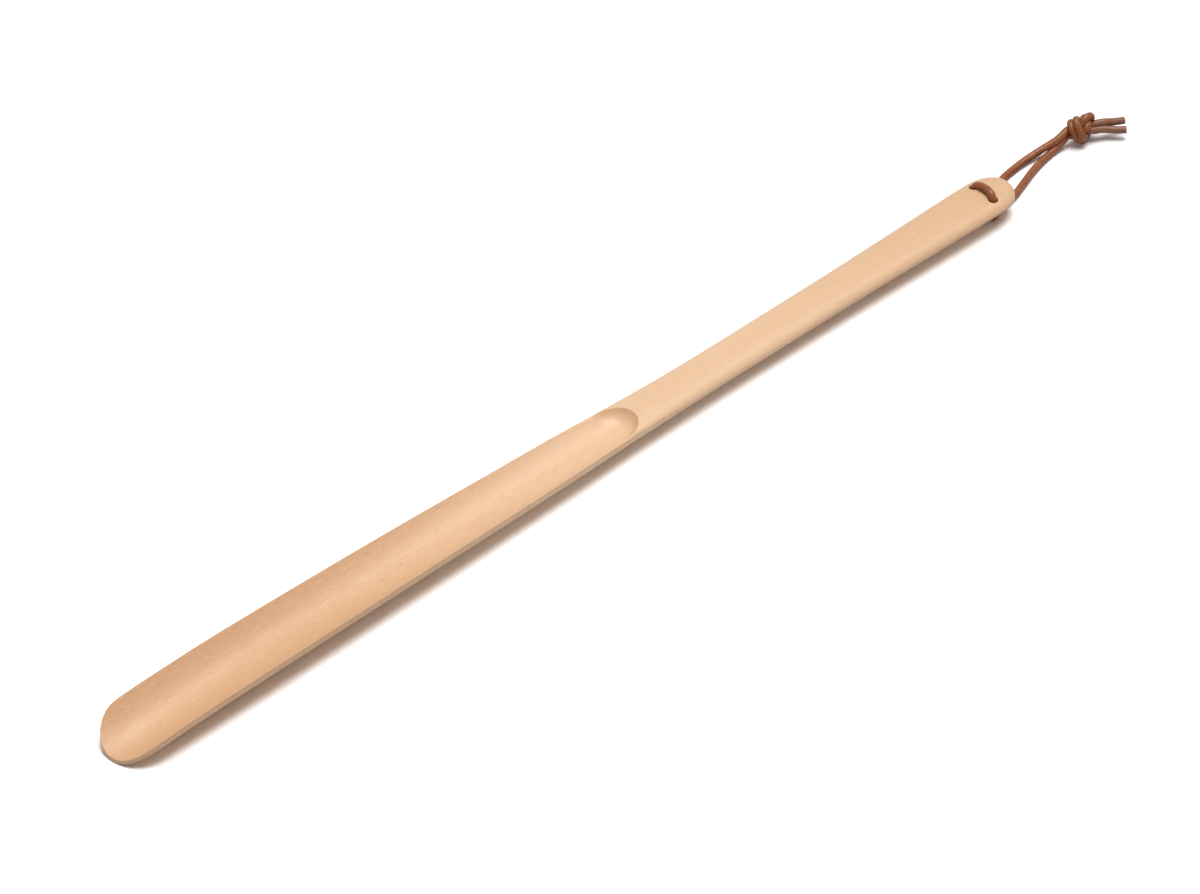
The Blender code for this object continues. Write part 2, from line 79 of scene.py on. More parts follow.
def direction(azimuth, elevation):
    """The direction from the object to a camera at these two angles, in degrees."""
    across = math.radians(azimuth)
    above = math.radians(elevation)
    level = math.cos(above)
    return Vector((math.sin(across) * level, -math.cos(across) * level, math.sin(above)))


deselect_all()
bpy.ops.object.camera_add()
camera = bpy.context.object
towards = direction(CAMERA_AZIMUTH, CAMERA_ELEVATION)
camera.rotation_mode = "QUATERNION"
roll = Quaternion((0, 0, 1), math.radians(CAMERA_ROLL))
camera.rotation_quaternion = (-towards).to_track_quat("-Z", "Y") @ roll
camera.location = CAMERA_TARGET + towards * CAMERA_DISTANCE
camera.data.lens = CAMERA_LENS
camera.data.clip_end = 3 * CAMERA_DISTANCE
bpy.context.scene.camera = camera
print("camera:", round(CAMERA_DISTANCE, 1), "m away")


# %% [markdown]
# ## The cord's way
#
# A cord is a fixed length of something limp, so its route comes before its look. It leaves each hole
# at the underside, bends at once because the handle's end rests on it, and runs along the table to
# the knot. The points are measured from the blade's tip. They follow the route of the CAD source,
# moved by about a millimetre to where the photograph shows the cord, which is also a little thicker
# here. A smooth curve through a few points is enough, and the helpers read it off at even steps.

# %% Route helpers and the two strands' points
TIP = np.array((-0.275, 0.0, 0.0))
CORD_DIAMETER = 0.0034
CORD_RADIUS = CORD_DIAMETER / 2
FLOOR_GAP = 0.00005
LYING = FLOOR_GAP + CORD_RADIUS
HOLE_MIDDLES = {1: (0.5354, 0.0060), -1: (0.5346, -0.0065)}
UNDERSIDE = 0.0035
CURVE_STEPS = 16

FAR_STRAND_POINTS = (
    (0.5420, 0.0076, LYING),
    (0.5475, 0.0088, LYING),
    (0.5585, 0.0113, LYING),
    (0.5632, 0.0123, 0.00178),
    (0.5714, 0.0131, 0.00205),
    (0.5763, 0.0130, 0.00255),
    (0.5808, 0.0125, 0.00325),
    (0.5851, 0.0117, 0.00415),
    (0.5891, 0.0107, 0.00520),
    (0.5928, 0.0098, 0.00645),
)
NEAR_STRAND_POINTS = (
    (0.5402, -0.0030, LYING),
    (0.5440, -0.0023, LYING),
    (0.5500, -0.0016, LYING),
    (0.5554, -0.0001, LYING),
    (0.5636, 0.0028, LYING),
    (0.5714, 0.0056, LYING),
    (0.5788, 0.0077, LYING),
    (0.5853, 0.0090, 0.00185),
    (0.5906, 0.0094, 0.00265),
    (0.5940, 0.0093, 0.00370),
)


def lengths_along(route):
    """Distance of each point from the route's start."""
    steps = np.linalg.norm(np.diff(route, axis=0), axis=1)
    return np.concatenate(([0.0], np.cumsum(steps)))


def even_points(route, count):
    """The same route with its points evenly spaced."""
    along = lengths_along(route)
    places = np.linspace(0.0, along[-1], count)
    return np.stack([np.interp(places, along, route[:, k]) for k in range(3)], axis=1)


def smooth_route(points, spacing):
    """Points about one spacing apart on a smooth curve through the given ones."""
    points = np.array(points, dtype=float)
    padded = np.vstack((2 * points[0] - points[1], points, 2 * points[-1] - points[-2]))
    fine = []
    for a, b, c, d in zip(padded, padded[1:], padded[2:], padded[3:]):
        for u in np.linspace(0.0, 1.0, CURVE_STEPS, endpoint=False):
            bend = (2 * a - 5 * b + 4 * c - d) * u * u + (3 * b - a - 3 * c + d) * u ** 3
            fine.append((2 * b + (c - a) * u + bend) / 2)
    fine = np.array(fine + [points[-1]])
    return even_points(fine, max(3, round(lengths_along(fine)[-1] / spacing) + 1))


print("points given, far and near:", len(FAR_STRAND_POINTS), len(NEAR_STRAND_POINTS))


# %% [markdown]
# ## The knot
#
# Both strands are tied together in one overhand knot. A knot can be drawn by hand, point by point,
# but then the strands run through each other. Here it is tied the way it is tied on the real cord: a
# wide, open loop is written down as three curves, its ends are pulled into line, and at each small
# step the bends even out and any two stretches that lie too close are pushed apart. Leather gives
# a little where it is pulled tight, so they are kept about five sixths of a cord apart, and where
# the knot is tightest the strands press into each other by about a fifth of their thickness.

# %% Tie the knot loosely
LOOSE_END = 2.15
LOOSE_POINTS = 800
LOOSE_LONG = 3.35
LOOSE_WIDE = 2.23
LOOSE_SHIFT = 3.35
LOOSE_HIGH = -0.38
LOOSE_ASIDE = 0.515


def loose_knot():
    """Two strands side by side in a wide, open overhand knot, in units of one strand's space."""
    t = np.linspace(-LOOSE_END, LOOSE_END, LOOSE_POINTS)
    along = LOOSE_LONG * (t ** 3 - 3 * t)
    across = LOOSE_WIDE * (t ** 4 - 4 * t ** 2) + LOOSE_SHIFT
    middle = np.stack((along, across, LOOSE_HIGH * (t ** 5 - 10 * t)), axis=1)
    forward = np.gradient(middle, axis=0)
    aside = np.stack((-forward[:, 1], forward[:, 0], np.zeros(len(t))), axis=1)
    aside /= np.linalg.norm(aside, axis=1)[:, None]
    return [middle + side * LOOSE_ASIDE * aside for side in (-1, 1)]


loose_size = np.ptp(np.vstack(loose_knot()), axis=0)
print("loose knot, in strands:", [round(float(size), 1) for size in loose_size])


# %% Draw the knot tight
OWN_STRETCH = 1.6
PUSH_SHARE = 0.6
TINY = 1e-9
ENTRY_TWIST = 50.0
ENDS_REACH = 7.4
ENDS_ASIDE = 0.54
# Rounds, length of a step, how much a bend evens out, partings in a round, and if the ends move.
PULLING = (1600, 0.5, 0.5, 2, True)
SETTLING = (150, 0.43, 0.1, 3, False)


def part_strands(points, strand, number, step):
    """Move apart any stretches that lie closer than one strand's space."""
    squares = (points ** 2).sum(axis=1)
    apart = squares[:, None] + squares[None] - 2 * points @ points.T
    first, second = np.nonzero(apart < 1.0)
    far_along = np.abs(number[first] - number[second]) * step >= OWN_STRETCH
    keep = (strand[first] != strand[second]) | far_along
    first, second = first[keep], second[keep]
    between = points[first] - points[second]
    distance = np.linalg.norm(between, axis=1) + TINY
    push = np.zeros_like(points)
    np.add.at(push, first, ((1.0 - distance) / 2 / distance)[:, None] * between)
    near = np.bincount(first, minlength=len(points))
    return points + PUSH_SHARE / np.sqrt(np.maximum(1, near))[:, None] * push


def drawn_knot():
    """Draw the loose knot tight: even out the bends, part the strands, bring the ends in line."""
    twist = math.radians(ENTRY_TWIST)
    entry = np.array((-ENDS_REACH, math.cos(twist), math.sin(twist)))
    leave = np.array((ENDS_REACH, 1.0, 0.0))
    routes = loose_knot()
    starts = [(route[0].copy(), route[-1].copy()) for route in routes]
    for rounds, step, evening, partings, pulling in (PULLING, SETTLING):
        for count in range(rounds):
            routes = [even_points(r, round(lengths_along(r)[-1] / step) + 1) for r in routes]
            for route in routes:
                middle = (route[:-2] + route[2:]) / 2
                route[1:-1] = middle * evening + route[1:-1] * (1 - evening)
            strand = np.concatenate([np.full(len(r), k) for k, r in enumerate(routes)])
            number = np.concatenate([np.arange(len(r)) for r in routes])
            points = np.vstack(routes)
            for _ in range(partings):
                points = part_strands(points, strand, number, step)
            routes = [points[strand == k] for k in range(2)]
            drawn = min(1.0, 2 * count / rounds) if pulling else 1.0
            for route, side, (start, end) in zip(routes, (-ENDS_ASIDE, ENDS_ASIDE), starts):
                route[0] = start * (1 - drawn) + entry * (1, side, side) * drawn
                route[-1] = end * (1 - drawn) + leave * (1, side, side) * drawn
    return routes


drawn_routes = drawn_knot()
print("strands drawn tight, in cords:", [round(lengths_along(r)[-1], 1) for r in drawn_routes])


# %% Lay the knot on the table
KNOT_SPACE = CORD_DIAMETER * 0.845
KNOT_CENTRE = (0.6040, 0.0067)
KNOT_ROLL = 258.0
KNOT_HEADING = -25.0
KNOT_ENTRY_REACH = 0.0072
KNOT_LEAVE_REACH = 0.0060
CHECK_POINTS = 300
CHECK_OWN_STRETCH = 2.2 * CORD_DIAMETER


def knot_routes():
    """The far and the near strand's way through the knot, where it lies on the table."""
    heading = Matrix.Rotation(math.radians(KNOT_HEADING), 3, "Z")
    turn = np.array(heading @ Matrix.Rotation(math.radians(KNOT_ROLL), 3, "X"))
    routes = []
    for route in drawn_routes:
        route = smooth_route(route * KNOT_SPACE, CORD_DIAMETER / 8)
        route = route[(route[:, 0] > -KNOT_ENTRY_REACH) & (route[:, 0] < KNOT_LEAVE_REACH)]
        routes.append(route @ turn.T)
    lowest = min(route[:, 2].min() for route in routes)
    return [route + np.array((*KNOT_CENTRE, LYING - lowest)) for route in routes]


def least_distance(routes):
    """Least distance between the middles of two stretches in the knot."""
    fine = [even_points(route, CHECK_POINTS) for route in routes]
    least = math.inf
    for i, route in enumerate(fine):
        for other in fine[i:]:
            distance = np.linalg.norm(route[:, None] - other[None], axis=2)
            if other is route:
                along = lengths_along(route)
                distance[np.abs(along[:, None] - along[None]) < CHECK_OWN_STRETCH] = math.inf
            least = min(least, distance.min())
    return least


knots = knot_routes()
knot_size = np.ptp(np.vstack(knots), axis=0)
print("strands in the knot at least", round(1000 * least_distance(knots), 2), "mm apart")
print("knot, mm:", [round(1000 * size, 1) for size in knot_size])


# %% [markdown]
# ## The cord as tubes
#
# Each strand is one unbroken tube, from inside its hole, along the table, through the knot and to the
# cut end of its tail. A third tube is the part that shows on top: it comes out of one hole, arches
# over the handle and goes down the other. A curve with a round bevel makes a tube of exactly even
# thickness. It is then turned into a mesh.

# %% The whole way of each stretch
TAIL_ENDS = ((0.6223, -0.0011, 0.0058), (0.6192, -0.0056, 0.0048))
TAIL_SAG = 0.0002
HOLE_MIDDLE_HEIGHT = 0.0075
BEND_RADIUS = 0.0045
BEND_TURNS = (0.0, 30.0, 60.0, 90.0)
STRAIGHT_ABOVE_BEND = 0.0003
TAIL_STRAIGHT = 0.45 * CORD_DIAMETER
TAIL_TURN = 0.9
TUBE_STEP = 0.0005
ARCH_POINTS = (
    (0.5354, 0.0060, HOLE_MIDDLE_HEIGHT),
    (0.5354, 0.0060, 0.0105), (0.5355, 0.0058, 0.0123), (0.5358, 0.0050, 0.0139),
    (0.5360, 0.0036, 0.0148), (0.5361, 0.0019, 0.0152), (0.5360, 0.0000, 0.0154),
    (0.5358, -0.0022, 0.0154), (0.5353, -0.0040, 0.0152), (0.5349, -0.0054, 0.0146),
    (0.5346, -0.0063, 0.0134), (0.5346, -0.0065, 0.0118),
    (0.5346, -0.0065, HOLE_MIDDLE_HEIGHT),
)


def unit(vector):
    """The same direction, one long."""
    return vector / np.linalg.norm(vector)


def strand_start(side, next_point):
    """Down out of the hole and round the tight bend under the handle, towards the next point."""
    x, y = HOLE_MIDDLES[side]
    heading = math.atan2(next_point[1] - y, next_point[0] - x)
    bend_top = LYING + BEND_RADIUS
    points = [(x, y, HOLE_MIDDLE_HEIGHT), (x, y, bend_top + STRAIGHT_ABOVE_BEND)]
    for turn in BEND_TURNS:
        out = BEND_RADIUS * (1 - math.cos(math.radians(turn)))
        down = BEND_RADIUS * math.sin(math.radians(turn))
        points.append((x + out * math.cos(heading), y + out * math.sin(heading), bend_top - down))
    return points


def tail_points(route, tail_end):
    """Out of the knot and in one soft bend to the cut end."""
    out = unit(route[-1] - route[-2])
    tail_end = np.array(tail_end)
    bend = route[-1] + out * TAIL_STRAIGHT
    aside = unit(tail_end - bend)
    middle = bend + unit(out + aside) * CORD_DIAMETER * TAIL_TURN
    return [bend, middle, (middle + tail_end) / 2 - (0.0, 0.0, TAIL_SAG), tail_end]


def strand_route(side, points, knot, tail_end):
    """The whole way of one strand, from inside its hole to the end of its tail."""
    through = even_points(knot, round(lengths_along(knot)[-1] / CORD_DIAMETER * 2))
    way = [*strand_start(side, points[0]), *points, *through, *tail_points(knot, tail_end)]
    return smooth_route(way, TUBE_STEP) + TIP


def bridge_route():
    """Up through the far hole, over the handle in a low arch, and down through the near hole."""
    return smooth_route(ARCH_POINTS, TUBE_STEP) + TIP


routes = {
    "strand_far": strand_route(1, FAR_STRAND_POINTS, knots[0], TAIL_ENDS[0]),
    "strand_near": strand_route(-1, NEAR_STRAND_POINTS, knots[1], TAIL_ENDS[1]),
    "arch": bridge_route(),
}
for name, route in routes.items():
    print("cord", name, "mm:", round(1000 * lengths_along(route)[-1], 1))


# %% Make the tubes
TUBE_ROUNDNESS = 5
SEARCH_BLOCK = 2000


def tube(name, route):
    """A round tube along the route, as a mesh that knows how far along the cord each point lies."""
    curve = bpy.data.curves.new(name, "CURVE")
    curve.dimensions = "3D"
    curve.bevel_depth = CORD_RADIUS
    curve.bevel_resolution = TUBE_ROUNDNESS
    curve.use_fill_caps = True
    curve.twist_mode = "MINIMUM"
    spline = curve.splines.new("POLY")
    spline.points.add(len(route) - 1)
    for spline_point, point in zip(spline.points, route):
        spline_point.co = (*point, 1.0)
    spline.use_smooth = True
    piece = bpy.data.objects.new(name, curve)
    bpy.context.scene.collection.objects.link(piece)
    deselect_all()
    piece.select_set(True)
    bpy.context.view_layer.objects.active = piece
    bpy.ops.object.convert(target="MESH")
    piece = bpy.context.object
    places = np.array([v.co for v in piece.data.vertices])
    along = lengths_along(route)
    nearest = np.empty(len(places))
    for start in range(0, len(places), SEARCH_BLOCK):
        block = slice(start, start + SEARCH_BLOCK)
        distance = np.linalg.norm(places[block, None] - route[None], axis=2)
        nearest[block] = along[distance.argmin(axis=1)]
    attribute = piece.data.attributes.new("along_cord", "FLOAT", "POINT")
    attribute.data.foreach_set("value", nearest.astype(np.float32))
    return piece


cords = {name: tube("leather_" + name, route) for name, route in routes.items()}
print("faces of the tubes:", [len(cord.data.polygons) for cord in cords.values()])


# %% [markdown]
# ## The horn's form
#
# The horn is one carved piece. Its outline narrows from the blade to a straight handle, and both ends
# are rounded. The blade is scooped out by a gouge whose cut ends in a round nose, the back is bowed,
# and the handle is domed with soft edges. The named sizes are those of the CAD source, but its
# scoop is 1.5 mm longer than the photograph's, and here it has the photograph's length.
#
# A carved form like this could be sculpted, or cut with a Boolean, but both leave uneven edges, and
# its rims are what the eye follows. So the top and the underside are written as two height rules over
# the outline. Each rule is smooth, and every edge is eased by a known width.

# %% Sizes and curves of the horn
HORN_LENGTH = 0.550
SCOOP_LENGTH = 0.3170
BLADE_WIDTH = 0.035
WAIST_WIDTH = 0.0211
HANDLE_END_WIDTH = 0.0240
BLADE_HEIGHT = 0.0152
HANDLE_DOME = 0.0015
HANDLE_EDGE_HEIGHT = 0.0120
TIP_ROUND_LENGTH = 0.0198
END_ROUND_LENGTH = 0.0150
RIM_EDGE = 0.0035
SCOOP_NOSE_LENGTH = 0.0165
FLAT_BACK_WIDTH = 0.0050
END_LIFT_LENGTH = 0.0450
END_LIFT = 0.0006
HANDLE_LENGTH = HORN_LENGTH - SCOOP_LENGTH


def smooth_through(places, values, place):
    """Read a smooth curve that passes through the values and never overshoots them."""
    gaps = [b - a for a, b in zip(places, places[1:])]
    slopes = [(b - a) / gap for a, b, gap in zip(values, values[1:], gaps)]
    tangents = [slopes[0]]
    for before, after in zip(slopes, slopes[1:]):
        tangents.append(2 * before * after / (before + after) if before * after > 0 else 0.0)
    tangents.append(slopes[-1])
    place = min(max(place, places[0]), places[-1])
    i = max(k for k, start in enumerate(places[:-1]) if start <= place)
    u = (place - places[i]) / gaps[i]
    start = values[i] * (1 + 2 * u) * (1 - u) ** 2 + tangents[i] * gaps[i] * u * (1 - u) ** 2
    end = values[i + 1] * u * u * (3 - 2 * u) + tangents[i + 1] * gaps[i] * u * u * (u - 1)
    return start + end


def ease(place, start, end):
    """Go smoothly from 0 at start to 1 at end."""
    u = min(1.0, max(0.0, (place - start) / (end - start)))
    return u * u * (3 - 2 * u)


def along_horn(blade_shares, handle_shares=()):
    """Distances from the blade's tip, from shares of the scoop's and the handle's length."""
    blade = [share * SCOOP_LENGTH for share in blade_shares]
    return blade + [SCOOP_LENGTH + share * HANDLE_LENGTH for share in handle_shares]


OUTLINE_PLACES = along_horn((0.0, 0.10, 0.21, 0.345, 0.60, 0.86, 1.0),
                            (0.28, 0.52, 0.76, 0.92, 1.0))
BLADE_SHARES = (0.95, 1.0, 0.995, 0.915, 0.680, 0.355, 0.125, 0.0, 0.0, 0.0, 0.0, 0.0)
END_SHARES = (0.0, 0.0, 0.0, 0.0, 0.0, 0.0, 0.0, 0.0, 0.08, 0.60, 1.0, 0.98)
RIM_PLACES = along_horn((0.0, 0.10, 0.26, 0.52, 0.78, 1.0), (0.40, 0.76, 1.0))
RIM_SHARES = (0.0, 0.72, 1.0, 0.86, 0.47, 0.22, 0.11, 0.03, 0.0)
BACK_PLACES = along_horn((0.0, 0.03, 0.10, 0.26, 0.52, 0.76, 1.0))
BACK_SHARES = (0.05, 0.0, 0.27, 0.68, 0.90, 1.0, 1.0)
WALL_PLACES = along_horn((0.0, 0.10, 0.26, 0.62, 0.90))
WALLS = (0.0020, 0.00305, 0.0034, 0.0034, 0.0044)
TIP_ROUNDNESS = 2.22
END_ROUNDNESS = 2.15
NOSE_ROUNDNESS = 2.1


def full_half_width(x):
    """Half the width of the outline before its two ends are rounded."""
    blade = (BLADE_WIDTH - WAIST_WIDTH) * smooth_through(OUTLINE_PLACES, BLADE_SHARES, x)
    end = (HANDLE_END_WIDTH - WAIST_WIDTH) * smooth_through(OUTLINE_PLACES, END_SHARES, x)
    return (WAIST_WIDTH + blade + end) / 2


def rim_height(x):
    """Height of the top face at its two long edges."""
    rise = BLADE_HEIGHT - HANDLE_EDGE_HEIGHT
    return HANDLE_EDGE_HEIGHT + rise * smooth_through(RIM_PLACES, RIM_SHARES, x)


def back_height(x):
    """Height of the underside on the horn's middle line."""
    lifting = max(0.0, 1 - (HORN_LENGTH - x) / END_LIFT_LENGTH)
    return UNDERSIDE * smooth_through(BACK_PLACES, BACK_SHARES, x) + END_LIFT * lifting ** 2


for part, x in (("blade", 0.03), ("waist", 0.40)):
    print("half width at the", part, "mm:", round(1000 * full_half_width(x), 2))


# %% [markdown]
# ## The easing of the edges
#
# Sandpaper takes an edge off by about the same amount all the way round. To do that here, the rules
# need to know how far a point lies in from the outline. The two rounded ends are stretched circles,
# and for such a curve the distance can be read from one smooth number, its norm, and its slope. The
# scoop's rims are eased by under half a millimetre and stay crisp, and the handle is fully rounded.

# %% How an edge is eased
RIM_SOFTENING = 0.00045
EDGE_ROUNDS = (0.89 * SCOOP_LENGTH, 1.12 * SCOOP_LENGTH)
NARROWEST_SHARE = 0.03
LEAST_NORM = 1e-6


def half_width(x):
    """Half the width of the finished outline."""
    width = full_half_width(x)
    for distance, length, roundness in ((x, TIP_ROUND_LENGTH, TIP_ROUNDNESS),
                                        (HORN_LENGTH - x, END_ROUND_LENGTH, END_ROUNDNESS)):
        if distance < length:
            left = 1 - (1 - max(0.0, distance) / length) ** roundness
            width *= max(NARROWEST_SHARE, left ** (1 / roundness))
    return width


def inset(x, ys):
    """How far in from the outline the points lie, and how much the outline faces along X."""
    full = full_half_width(x)
    at_tip = x < HORN_LENGTH / 2
    length = TIP_ROUND_LENGTH if at_tip else END_ROUND_LENGTH
    n = TIP_ROUNDNESS if at_tip else END_ROUNDNESS
    u = max(0.0, 1 - (x if at_tip else HORN_LENGTH - x) / length)
    across = np.abs(ys) / full
    norm = (across ** n + u ** n) ** (1 / n)
    norm = np.maximum(norm, LEAST_NORM)
    slope_y = (across / norm) ** (n - 1) / full
    slope_x = (u / norm) ** (n - 1) / length
    slope = np.sqrt(slope_x ** 2 + slope_y ** 2) + TINY
    return np.maximum(0.0, (1 - norm) / slope), (slope_x / slope) ** 2


def eased(inset_by, across, down):
    """How far a rounded edge has dropped at a distance in from the outline."""
    out = np.clip(1 - inset_by / across, 0.0, 1.0)
    return down * (1 - np.sqrt(1 - out ** 2))


def softer_minimum(a, b, width):
    """The lower of two heights, with a small rounding where they cross."""
    near = np.clip(width - np.abs(a - b), 0.0, None) / width
    return np.minimum(a, b) - near ** 2 * width / 4


def edge_sizes(x, ends, easing, end_easing):
    """How wide and how deep an edge is eased: crisp along the scoop, round on the handle."""
    rounded = ease(x, *EDGE_ROUNDS)
    sizes = []
    for side_size, end_size in zip(easing, end_easing):
        handle = side_size + (end_size - side_size) * ends
        sizes.append(RIM_SOFTENING + rounded * (handle - RIM_SOFTENING))
    return sizes


print("half width 2 mm from the tip, mm:", round(1000 * half_width(0.002), 2))


# %% The two height rules
UPPER_EASING = (0.0048, 0.0024)
LOWER_EASING = (0.0026, 0.0013)
END_UPPER_EASING = (0.0036, 0.0036)
END_LOWER_EASING = (0.0042, 0.0042)
CREASE_SOFTENING = 0.00022
BACK_FLATTENS = (0.75 * SCOOP_LENGTH, 1.08 * SCOOP_LENGTH)
SCOOP_CURVE = 2.0
NOSE_EXTRA_CURVE = 2.4


def scoop_heights(x, ys):
    """Height of the carved surface, which runs on above the top face outside the scoop."""
    into_nose = max(0.0, x - SCOOP_LENGTH + SCOOP_NOSE_LENGTH) / SCOOP_NOSE_LENGTH
    across = np.abs(ys) / full_half_width(x)
    out = (across ** NOSE_ROUNDNESS + into_nose ** NOSE_ROUNDNESS) ** (1 / NOSE_ROUNDNESS)
    curve = SCOOP_CURVE + NOSE_EXTRA_CURVE * ease(into_nose, 0.0, 1.0)
    depth = rim_height(x) + HANDLE_DOME - back_height(x) - smooth_through(WALL_PLACES, WALLS, x)
    return rim_height(x) + HANDLE_DOME * (1 - across ** 2) - depth * (1 - out ** curve)


def top_heights(x, ys):
    """Height of the finished top."""
    across = np.abs(ys) / full_half_width(x)
    dome = rim_height(x) + HANDLE_DOME * (1 - across ** 2)
    distance, ends = inset(x, ys)
    wide, deep = edge_sizes(x, ends, UPPER_EASING, END_UPPER_EASING)
    top = softer_minimum(dome, scoop_heights(x, ys), CREASE_SOFTENING)
    return top - eased(distance, wide, deep)


def under_heights(x, ys):
    """Height of the finished underside: bowed under the blade and flat under the handle."""
    full = full_half_width(x)
    flat = ease(x, *BACK_FLATTENS) * FLAT_BACK_WIDTH / 2
    bottom = back_height(x)
    rim = rim_height(x)
    edge = min(RIM_EDGE, (rim - bottom) / 2)
    bowed = np.maximum(0.0, np.abs(ys) - flat) / (full - flat)
    distance, ends = inset(x, ys)
    wide, deep = edge_sizes(x, ends, LOWER_EASING, END_LOWER_EASING)
    return bottom + (rim - edge - bottom) * bowed ** 2 + eased(distance, wide, deep)


middle = np.zeros(1)
wall = (top_heights(0.1, middle) - under_heights(0.1, middle))[0]
print("wall at the blade's middle, mm:", round(1000 * wall, 2))


# %% [markdown]
# ## Building the horn's surface
#
# The surface starts as one flat grid, a primitive. Its long way is the horn's length and its short
# way goes once round the section: underside, side, top and side again. The grid's points are then set
# by the height rules, the seam is merged and both ends are closed. The rows stand closer together at
# the ends and at the scoop's nose, and a column of points follows the scoop's edge, so that the edge
# is clean.

# %% Rows along the horn
TIP_ROWS = 44
BLADE_ROWS = 120
WAIST_ROWS = 60
NOSE_ROWS = 64
HANDLE_ROWS = 110
END_ROWS = 44
WAIST_FROM = 0.86 * SCOOP_LENGTH
ROWS_PAST_NOSE = (0.12, 0.26, 0.42, 0.62, 0.9, 1.3, 1.9, 2.8, 4.0, 5.5, 7.4)
LEAST_ROW_GAP = 0.00006


def closer_rows():
    """Places of the cross-sections along the horn."""
    quarter = math.pi / 2
    tip = TIP_ROUND_LENGTH * (1 - np.cos(np.linspace(0.0, quarter, TIP_ROWS)))
    nose_start = SCOOP_LENGTH - SCOOP_NOSE_LENGTH
    blade = np.linspace(TIP_ROUND_LENGTH, WAIST_FROM, BLADE_ROWS)[1:]
    waist = np.linspace(WAIST_FROM, nose_start, WAIST_ROWS)[1:]
    nose = nose_start + SCOOP_NOSE_LENGTH * np.sin(np.linspace(0.0, quarter, NOSE_ROWS))[1:]
    after = SCOOP_LENGTH + np.array(ROWS_PAST_NOSE) / 1000
    end_start = HORN_LENGTH - END_ROUND_LENGTH
    handle = np.linspace(after[-1], end_start, HANDLE_ROWS)[1:]
    end = end_start + END_ROUND_LENGTH * np.sin(np.linspace(0.0, quarter, END_ROWS))[1:]
    rows = [0.0]
    for x in np.concatenate((tip, blade, waist, nose, after, handle, end)):
        if x - rows[-1] > LEAST_ROW_GAP:
            rows.append(float(x))
    rows[-1] = HORN_LENGTH
    return rows


rows = closer_rows()
print("rows:", len(rows))


# %% Columns across the horn
CREASE_LEAST = 0.12
CREASE_MOST = 0.985
CREASE_OPENS_BY = 0.43
CREASE_FADE_LENGTH = 0.025
CREASE_SAMPLES = 400
INNER_COLUMNS = 30
INNER_CROWDING = 0.9
OUTER_COLUMNS = 22
UNDER_COLUMNS = 26
SIDE_STEPS = 6


def crease(x):
    """How far from the middle line the scoop's edge lies."""
    half = half_width(x)
    into_nose = (x - SCOOP_LENGTH + SCOOP_NOSE_LENGTH) / SCOOP_NOSE_LENGTH
    if into_nose >= 1:
        opening = ease(x, SCOOP_LENGTH, SCOOP_LENGTH + CREASE_FADE_LENGTH)
        return half * (CREASE_LEAST + CREASE_OPENS_BY * opening)
    if into_nose <= 0 and x < EDGE_ROUNDS[0]:
        return half * CREASE_MOST
    ys = np.linspace(0.0, half, CREASE_SAMPLES)
    distance, ends = inset(x, ys)
    wide, deep = edge_sizes(x, ends, UPPER_EASING, END_UPPER_EASING)
    dome = rim_height(x) + HANDLE_DOME * (1 - (ys / full_half_width(x)) ** 2)
    inside = np.nonzero(scoop_heights(x, ys) < dome - eased(distance, wide, deep))[0]
    found = ys[inside[-1]] if len(inside) else 0.0
    return min(half * CREASE_MOST, max(half * CREASE_LEAST, found))


def columns(x):
    """Places across the top, from the middle to the side, closer at the scoop's edge."""
    half = half_width(x)
    edge = crease(x)
    inner = edge * np.sin(np.linspace(0.0, math.pi / 2, INNER_COLUMNS)) ** INNER_CROWDING
    outer = edge + (half - edge) * (1 - np.cos(np.linspace(0.0, math.pi, OUTER_COLUMNS)[1:])) / 2
    return np.concatenate((inner, outer))


def section(x):
    """The ring of points round the horn at x, from the underside's middle by the far side."""
    half = half_width(x)
    low_ys = half * np.sin(np.linspace(0.0, math.pi / 2, UNDER_COLUMNS))
    high_ys = columns(x)
    low = np.stack((low_ys, under_heights(x, low_ys)), axis=1)
    high = np.stack((high_ys, top_heights(x, high_ys)), axis=1)
    wall_shares = np.linspace(0.0, 1.0, SIDE_STEPS)[1:-1, None]
    side = low[-1] + (high[-1] - low[-1]) * wall_shares
    swell = RIM_SOFTENING / 3 * np.sin(wall_shares[:, 0] * math.pi) * min(1.0, half / RIM_EDGE)
    side[:, 0] -= swell
    far = np.vstack((low, side, high[::-1]))
    near = far[1:-1][::-1] * (-1, 1)
    return np.vstack((far, near, far[:1]))


sections = [section(x) for x in rows]
rings = np.array([np.column_stack((np.full(len(s), x), s)) for x, s in zip(rows, sections)])
print("points in a ring:", rings.shape[1])


# %% Shape the grid and close it
SEAM_GAP = 0.000001

deselect_all()
bpy.ops.mesh.primitive_grid_add(x_subdivisions=len(rows) - 1,
                                y_subdivisions=rings.shape[1] - 1, size=1)
horn = bpy.context.object
horn.name = "carved_horn"
places = np.array([v.co for v in horn.data.vertices])
row_of = np.rint((places[:, 0] + 0.5) * (len(rows) - 1)).astype(int)
ring_of = np.rint((places[:, 1] + 0.5) * (rings.shape[1] - 1)).astype(int)
horn.data.vertices.foreach_set("co", (rings[row_of, ring_of] + TIP).astype(np.float32).ravel())
horn.data.update()

bpy.ops.object.mode_set(mode="EDIT")
bpy.ops.mesh.select_all(action="SELECT")
bpy.ops.mesh.remove_doubles(threshold=SEAM_GAP)
bpy.ops.mesh.select_all(action="DESELECT")
bpy.ops.mesh.select_non_manifold(extend=False, use_wire=False, use_multi_face=False,
                                 use_non_contiguous=False, use_verts=False)
bpy.ops.mesh.fill_holes(sides=0)
bpy.ops.mesh.select_all(action="SELECT")
bpy.ops.mesh.normals_make_consistent(inside=False)
bpy.ops.object.mode_set(mode="OBJECT")
print("horn faces:", len(horn.data.polygons))


